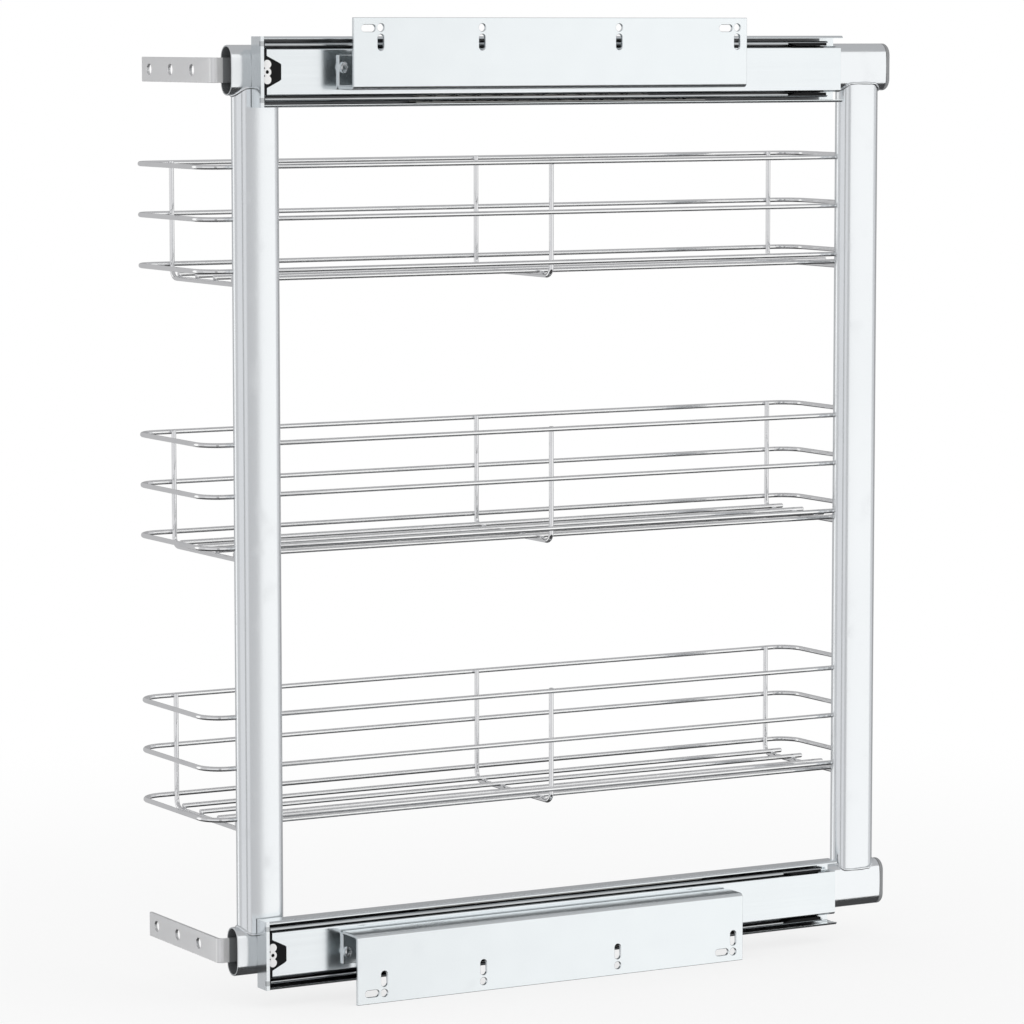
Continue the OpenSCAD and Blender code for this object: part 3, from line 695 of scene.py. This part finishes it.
def set_out(name, pattern_piece, places, material, spread=0.0, seed=1, smooth=38):
    """Copies of the pattern at (point, turn) places; the pattern itself goes."""
    points = bpy.data.meshes.new(name)
    points.from_pydata([point for point, _ in places], [], [])
    turns = points.attributes.new("turn", "FLOAT_VECTOR", "POINT")
    for entry, (_, turned_by) in zip(turns.data, places):
        entry.vector = turned_by
    made = grown(
        name, points, copies_tree, smooth, Pattern=pattern_piece, Spread=spread, Seed=seed, Finish=material
    )
    bpy.data.objects.remove(pattern_piece)
    return made


def solid_boxes(node):
    """The box of each separate solid of a CAD node, in order along X, then Z."""
    work = bmesh.new()
    work.from_mesh(frame["nodes"][node].data)
    bmesh.ops.remove_doubles(work, verts=work.verts, dist=same_point)
    left, boxes = set(work.verts), []
    while left:
        stack, group = [left.pop()], []
        while stack:
            vert = stack.pop()
            group.append(vert.co.copy())
            for edge in vert.link_edges:
                near = edge.other_vert(vert)
                if near in left:
                    left.remove(near)
                    stack.append(near)
        boxes.append((
            Vector(min(c[k] for c in group) for k in range(3)),
            Vector(max(c[k] for c in group) for k in range(3)),
        ))
    work.free()
    return sorted(boxes, key=lambda b: (round(b[0].x, 5), round(b[0].z, 5)))


for level in LEVELS:
    bracket = from_node(
        f"{level}_panel_bracket", f"panel_bracket_{level}", satin_nickel, 0.3 * MM, angle=40, clamped=False
    )
    stands_for(bracket, "bracket_steel", f"{level}_panel_bracket")
    seat_y = tube_box[level][1].y
    heads = [
        (((low.x + high.x) / 2, seat_y, (low.z + high.z) / 2), (-math.pi / 2, 0, 0.4))
        for low, high in solid_boxes(f"{level}_bracket_screws")
    ]
    screw = pan_screw(
        head_radius=3.2 * MM, head_height=1.8 * MM, shank_radius=1.7 * MM, shank_length=4.6 * MM
    )
    screws = set_out(f"leg_screws_{level}", screw, heads, zinc_screw)
    stands_for(screws, "screw_steel", f"{level}_bracket_screws")


# ---- Baskets ----
# Each basket is made of 3 mm drawn wire: three closed rings, three U-shaped cross wires inside them
# and four straight wires along the floor. Every crossing is resistance-welded, and the near side of
# the rings is welded to the posts. The whole basket is then chrome-plated.
bright_chrome, shader, place = finish("bright_chrome", Metallic=1.0)
dull = sharpened(cloudy(place, 45.0, 4.0), 0.5, 0.75)
pits = cloudy(place, 900.0, 2.0)
between(dull, (0.965, 0.968, 0.97), (0.88, 0.887, 0.892)).into(shader, "Base Color")
(0.04 + dull * 0.07 + pits * 0.03).into(shader, "Roughness")
dented(shader, pits, 0.003 * MM, strength=0.4)

weld_chrome, shader, place = finish("weld_chrome", Metallic=1.0)
scale_marks = cloudy(place, 600.0, 3.0)
between(scale_marks, (0.80, 0.81, 0.82), (0.52, 0.52, 0.53)).into(shader, "Base Color")
(0.14 + scale_marks * 0.24).into(shader, "Roughness")
dented(shader, scale_marks, 0.06 * MM, strength=0.6)

wire_tree, path_in = new_tree(
    "bent_wire", ("Wire diameter", "Float"), ("Bend radius", "Float"), ("Bend steps", "Int"),
    ("Sides", "Int"), ("Finish", "Material"),
)
path = path_in.node("GeometryNodeMeshToCurve", {"Mesh": path_in})
bends = path.node(
    "GeometryNodeFilletCurve",
    {"Curve": path, "Count": path_in.other("Bend steps"), "Radius": path_in.other("Bend radius")},
    mode="POLY",
)
section = path_in.node(
    "GeometryNodeCurvePrimitiveCircle",
    {"Resolution": path_in.other("Sides"), "Radius": path_in.other("Wire diameter") * 0.5}, mode="RADIUS",
)
wire = bends.node(
    "GeometryNodeCurveToMesh", {"Curve": bends, "Profile Curve": section, "Fill Caps": True}
)
end_tree(wire_tree, wire, path_in.other("Finish"))


def bent_wires(name, paths, closed, diameter, bend, trim_ends=0.0):
    """Wires along paths of points, bent to a radius at their corners."""
    points, edges = [], []
    for path in paths:
        start = len(points)
        points += path
        edges += [(start + i, start + i + 1) for i in range(len(path) - 1)]
        if closed:
            edges.append((start + len(path) - 1, start))
    base = bpy.data.meshes.new(name)
    base.from_pydata(points, edges, [])
    values = {
        "Wire diameter": diameter, "Bend radius": bend, "Bend steps": 9, "Sides": 18,
        "Finish": bright_chrome,
    }
    piece = grown(name, base, wire_tree, smooth=50, **values)
    outward(piece.data)
    if trim_ends:
        rounded(piece, trim_ends, angle=60)
    return piece


def weld_drop(half_lengths):
    """A round bead of melted steel, to be copied, from its half lengths along X, Y and Z."""
    mesh = bpy.data.meshes.new("bead")
    work = bmesh.new()
    bmesh.ops.create_icosphere(work, subdivisions=2, radius=1.0)
    bmesh.ops.scale(work, verts=work.verts, vec=half_lengths)
    work.to_mesh(mesh)
    work.free()
    return new_piece("bead", mesh)


ring_bend, cross_bend = 15 * MM, 6 * MM
cut_edge = 0.4 * MM   # how far the cut ends of the open wires are broken
# half lengths of a bead where two wires cross, and of one that holds a ring to a post
crossing_bead = (1.45 * MM, 0.75 * MM, 1.45 * MM)
post_bead = (6.5 * MM, 0.9 * MM, 0.9 * MM)
for basket in ("lower", "middle", "upper"):
    ring_nodes = [f"{basket}_basket_{ring}_ring" for ring in ("bottom", "middle", "top")]
    ring_boxes = [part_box(node) for node in ring_nodes]
    wire_d = ring_boxes[0][1].z - ring_boxes[0][0].z
    ring_paths = []
    for low, high in ring_boxes:
        x0, x1 = low.x + wire_d / 2, high.x - wire_d / 2
        y0, y1 = low.y + wire_d / 2, high.y - wire_d / 2
        z = (low.z + high.z) / 2
        ring_paths.append([((x0 + x1) / 2, y0, z), (x1, y0, z), (x1, y1, z), (x0, y1, z), (x0, y0, z)])
    rings = bent_wires(f"{basket}_rings", ring_paths, True, wire_d, ring_bend)
    stands_for(rings, "wire_chrome", *ring_nodes)

    near, far = y0 + wire_d, y1 - wire_d
    ring_zs = [(low.z + high.z) / 2 for low, high in ring_boxes]
    cross_boxes = solid_boxes(f"{basket}_basket_cross_wires")
    cross_xs = [(low.x + high.x) / 2 for low, high in cross_boxes]
    floor_z = cross_boxes[0][0].z + wire_d / 2
    top_z = ring_zs[2] + wire_d / 2
    cross_paths = [
        [(x, near, top_z), (x, near, floor_z), (x, far, floor_z), (x, far, top_z)] for x in cross_xs
    ]
    crosses = bent_wires(f"{basket}_cross_wires", cross_paths, False, wire_d, cross_bend, cut_edge)
    stands_for(crosses, "wire_chrome", f"{basket}_basket_cross_wires")

    floor_boxes = solid_boxes(f"{basket}_basket_floor_wires")
    floor_paths = []
    for low, high in floor_boxes:
        y, z = (low.y + high.y) / 2, (low.z + high.z) / 2
        floor_paths.append([(low.x, y, z), (high.x, y, z)])
    floor_wires = bent_wires(f"{basket}_floor_wires", floor_paths, False, wire_d, cross_bend, cut_edge)
    stands_for(floor_wires, "wire_chrome", f"{basket}_basket_floor_wires")

    # the little fillets of melted steel where two wires cross; those at the top ring sit lower, as
    # the cross wires end there
    spots = []
    for x in cross_xs:
        for z in ring_zs:
            sunk = 0.3 * MM if z == ring_zs[2] else 0
            spots += [((x, y, z - sunk), (0, 0, 0)) for y in (near - wire_d / 2, far + wire_d / 2)]
        for low, high in floor_boxes:
            spots.append(((x, (low.y + high.y) / 2, floor_z + wire_d / 2), (math.pi / 2, 0, 0)))
    beads = set_out(
        f"{basket}_weld_spots", weld_drop(crossing_bead), spots, weld_chrome, spread=0.07, seed=5, smooth=80
    )
    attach(beads, "pull_out_frame")

    # the longer beads that hold the rings to the posts, one over and one under each ring
    spots = []
    for post_name in ("front", "rear"):
        low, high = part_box(f"{post_name}_post")
        for z in ring_zs:
            for side in (-1, 1):
                spots.append((((low.x + high.x) / 2, high.y + 0.35 * MM, z + side * MM), (0, 0, 0)))
    beads = set_out(
        f"{basket}_post_welds", weld_drop(post_bead), spots, satin_silver, spread=0.06, seed=9, smooth=80
    )
    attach(beads, "pull_out_frame")


# ---- Slide rails ----
# Each slide is three rails of roll-formed, zinc-plated sheet. The widest is riveted to the tube, the
# narrowest is screwed to the mounting plate, and the middle one runs between them on balls. Rolling
# leaves fine lines along the rails. The ball tracks inside their edges are dark with grease and with
# painted shade.
rails = ("frame_rail", "middle_rail", "cabinet_rail")
frame_half, middle_half, cabinet_half = (
    (high.z - low.z) / 2 for low, high in (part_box(f"top_{rail}") for rail in rails)
)
slide_zs = [sum(corner.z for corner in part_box(f"{level}_frame_rail")) / 2 for level in LEVELS]
lips_y, rail_back_y = (corner.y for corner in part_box("top_frame_rail"))
track_x, track_end_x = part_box("top_rail_catch")[0].x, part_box("top_middle_rail")[1].x
bright_zinc, shader, place = finish("bright_zinc", Metallic=1.0)
rolled = cloudy(place, 1.0, 3.0, stretch=(5, 700, 700))
clouds = cloudy(place, 20.0, 2.0)
zinc = between(clouds * 0.6 + rolled * 0.4, (0.915, 0.955, 0.97), (0.845, 0.885, 0.905))
# how far a point is from its slide's middle line, and how deep inside its lips
along, depth, height = (place.node("ShaderNodeSeparateXYZ", {0: place}, out=axis) for axis in "XYZ")
off_slide = abs(abs(height - sum(slide_zs) / 2) - (slide_zs[0] - slide_zs[1]) / 2)
smeared = cloudy(place, 90.0, 4.0, stretch=(0.2, 1, 1)) * (0.8 * MM)
# grease and painted shade in the ball tracks, which lie between the edges of the cabinet rail and the
# frame rail: the colour darkens deep inside the lips, where shade falls
track_grease_and_shade = (
    sharpened(off_slide + smeared, cabinet_half - 0.2 * MM, cabinet_half + 0.3 * MM)
    * sharpened(0 - off_slide, 0.6 * MM - frame_half, 1.1 * MM - frame_half)
    * sharpened(depth - lips_y + smeared, 1.5 * MM, 2.4 * MM)
    * sharpened(rail_back_y - depth, 0.4 * MM, 1.0 * MM)
    * sharpened(along, track_x, track_x + 1 * MM)
    * sharpened(track_end_x - along, -1 * MM, 0.0)
)
# the front edges of the middle rail are made darker grey, in patches
darker_patches = (
    sharpened(off_slide, cabinet_half + 0.5 * MM, cabinet_half + 0.8 * MM)
    * sharpened(0 - off_slide, -0.6 * MM - middle_half, -0.3 * MM - middle_half)
    * sharpened(lips_y - depth, -2.2 * MM, -1.6 * MM)
    * (0.25 + clouds * 0.5)
)
edged = between(darker_patches, zinc, (0.2, 0.205, 0.21))
between(track_grease_and_shade, edged, (0.2, 0.205, 0.212)).into(shader, "Base Color")
(0.12 + rolled * 0.05 + clouds * 0.05 + track_grease_and_shade * 0.2).into(shader, "Roughness")
dented(shader, rolled, 0.008 * MM, strength=0.5)

for level in LEVELS:
    for rail in rails:
        made = from_node(f"{level}_{rail}", f"{rail}_{level}", bright_zinc, 0.18 * MM, angle=48)
        stands_for(made, "rail_zinc", f"{level}_{rail}")

# the rivets are closed by a punch: sunk head in the rail, upset end inside the tube
rivet_crown = 0.15   # how far the head's middle stands out, in mm as the pairs below
rivet_profile = [
    (0, rivet_crown), (1.6, 0.1), (3.0, 0.0), (2.0, -1.0), (2.0, -2.4),
    (3.0, -2.5), (2.8, -3.2), (1.4, -3.4), (0, -3.4),
]
for level in LEVELS:
    places = [
        (((low.x + high.x) / 2, low.y, (low.z + high.z) / 2), (math.pi / 2, 0, 0))
        for low, high in solid_boxes(f"{level}_rail_rivets")
    ]
    sunk_profile = [(radius * MM, (height - rivet_crown) * MM) for radius, height in rivet_profile]
    rivet = new_piece("rivet", turned_mesh("rivet", sunk_profile, steps=24))
    rivets = set_out(f"rivets_{level}", rivet, places, zinc_screw)
    stands_for(rivets, "screw_steel", f"{level}_rail_rivets")


# ---- Balls and cages ----
# Hard steel balls roll between the rails' edges. A thin folded strip with a punched window for each
# ball keeps them apart; the strip is left as rolled, with a film of grease.
greased_strip, shader, place = finish("greased_strip", Metallic=1.0)
darker_patches = cloudy(place, 120.0, 3.0)
between(darker_patches, (0.40, 0.40, 0.39), (0.22, 0.22, 0.21)).into(shader, "Base Color")
(0.24 + darker_patches * 0.2).into(shader, "Roughness")
dented(shader, darker_patches, 0.04 * MM, strength=0.4)

ball_steel, shader, place = finish("ball_steel", Metallic=1.0)
smear = cloudy(place, 500.0, 2.0)
between(smear, (0.80, 0.81, 0.82), (0.62, 0.62, 0.60)).into(shader, "Base Color")
(0.06 + smear * 0.14).into(shader, "Roughness")

ball_radius = 1.3 * MM
for level in LEVELS:
    for run in ("inner", "outer"):
        strip = from_node(f"{level}_{run}_ball_cage", f"ball_cage_{run}_{level}", greased_strip, width=0.0)
        stands_for(strip, "cage_steel", f"{level}_{run}_ball_cage")
        places = [((low + high) / 2, (0, 0, 0)) for low, high in solid_boxes(f"{level}_{run}_balls")]
        ball_mesh = bpy.data.meshes.new("ball")
        work = bmesh.new()
        bmesh.ops.create_uvsphere(work, u_segments=14, v_segments=8, radius=ball_radius)
        work.to_mesh(ball_mesh)
        work.free()
        balls = set_out(f"balls_{run}_{level}", new_piece("ball", ball_mesh), places, ball_steel, smooth=80)
        stands_for(balls, "ball_steel", f"{level}_{run}_balls")


# ---- Catches and rail stops ----
# A black nylon catch stands behind each slide's end tab and snaps round the cabinet rail; a white
# nylon plate with three lobes covers it. Black nylon stops sit in the ends of the middle rail. All
# have the fine grain of their mould.
black_nylon, shader, place = finish("black_nylon", Metallic=0.0, Specular_IOR_Level=0.16)
grain = cloudy(place, 1400.0, 3.0)
bloom = cloudy(place, 160.0, 2.0)
between(bloom, (0.003, 0.0032, 0.004), (0.009, 0.0093, 0.0105)).into(shader, "Base Color")
(0.34 + grain * 0.2).into(shader, "Roughness")
dented(shader, grain, 0.03 * MM, strength=0.6)

white_nylon, shader, place = finish("white_nylon", Metallic=0.0)
bloom = cloudy(place, 220.0, 3.0)
between(bloom, (0.97, 0.97, 0.965), (0.93, 0.93, 0.925)).into(shader, "Base Color")
(0.3 + bloom * 0.14).into(shader, "Roughness")
dented(shader, cloudy(place, 1600.0, 2.0), 0.02 * MM, strength=0.5)

for level in LEVELS:
    catch = from_node(f"{level}_rail_catch", f"catch_{level}", black_nylon, 0.3 * MM, angle=30)
    stands_for(catch, "black_plastic", f"{level}_rail_catch")
    stops = from_node(f"{level}_middle_rail_stops", f"rail_stops_{level}", black_nylon, 0.15 * MM, angle=30)
    stands_for(stops, "black_plastic", f"{level}_middle_rail_stops")
    lobes = from_node(f"{level}_catch_plate", f"catch_plate_{level}", white_nylon, 0.12 * MM, angle=45)
    stands_for(lobes, "white_plastic", f"{level}_catch_plate")


# ---- Mounting plates and their screws ----
# Folded steel plates hold the cabinet rails away from the cabinet's wall. Round holes and slots are
# punched through the face for the wall screws, and two pan-head screws clamp each foot to its rail.
# The plates are pale zinc with a faint blue cast.
pale_zinc, shader, place = finish("pale_zinc", Metallic=1.0)
spangle = cloudy(place, 60.0, 4.0)
haze = cloudy(place, 7.0, 2.0)
between(spangle * 0.3 + haze * 0.7, (0.93, 0.972, 0.985), (0.89, 0.935, 0.955)).into(shader, "Base Color")
scuffs = sharpened(cloudy(place, 40.0, 5.0), 0.62, 0.78)
(0.2 + spangle * 0.05 + scuffs * 0.07).into(shader, "Roughness")
dented(shader, cloudy(place, 1500.0, 2.0), 0.006 * MM, strength=0.4)

pan_height = 2.2 * MM
for level in LEVELS:
    plate = from_node(
        f"{level}_mounting_plate", f"mounting_plate_{level}", pale_zinc, 0.4 * MM, angle=48, clamped=False
    )
    stands_for(plate, "plate_zinc", f"{level}_mounting_plate")
    heads = [
        (((low.x + high.x) / 2, low.y + pan_height, (low.z + high.z) / 2), (math.pi / 2, 0, 0.6))
        for low, high in solid_boxes(f"{level}_plate_screws")
    ]
    screw = pan_screw(
        head_radius=3.4 * MM, head_height=pan_height, shank_radius=1.9 * MM, shank_length=5.7 * MM
    )
    screws = set_out(f"foot_screws_{level}", screw, heads, zinc_screw)
    stands_for(screws, "screw_steel", f"{level}_plate_screws")
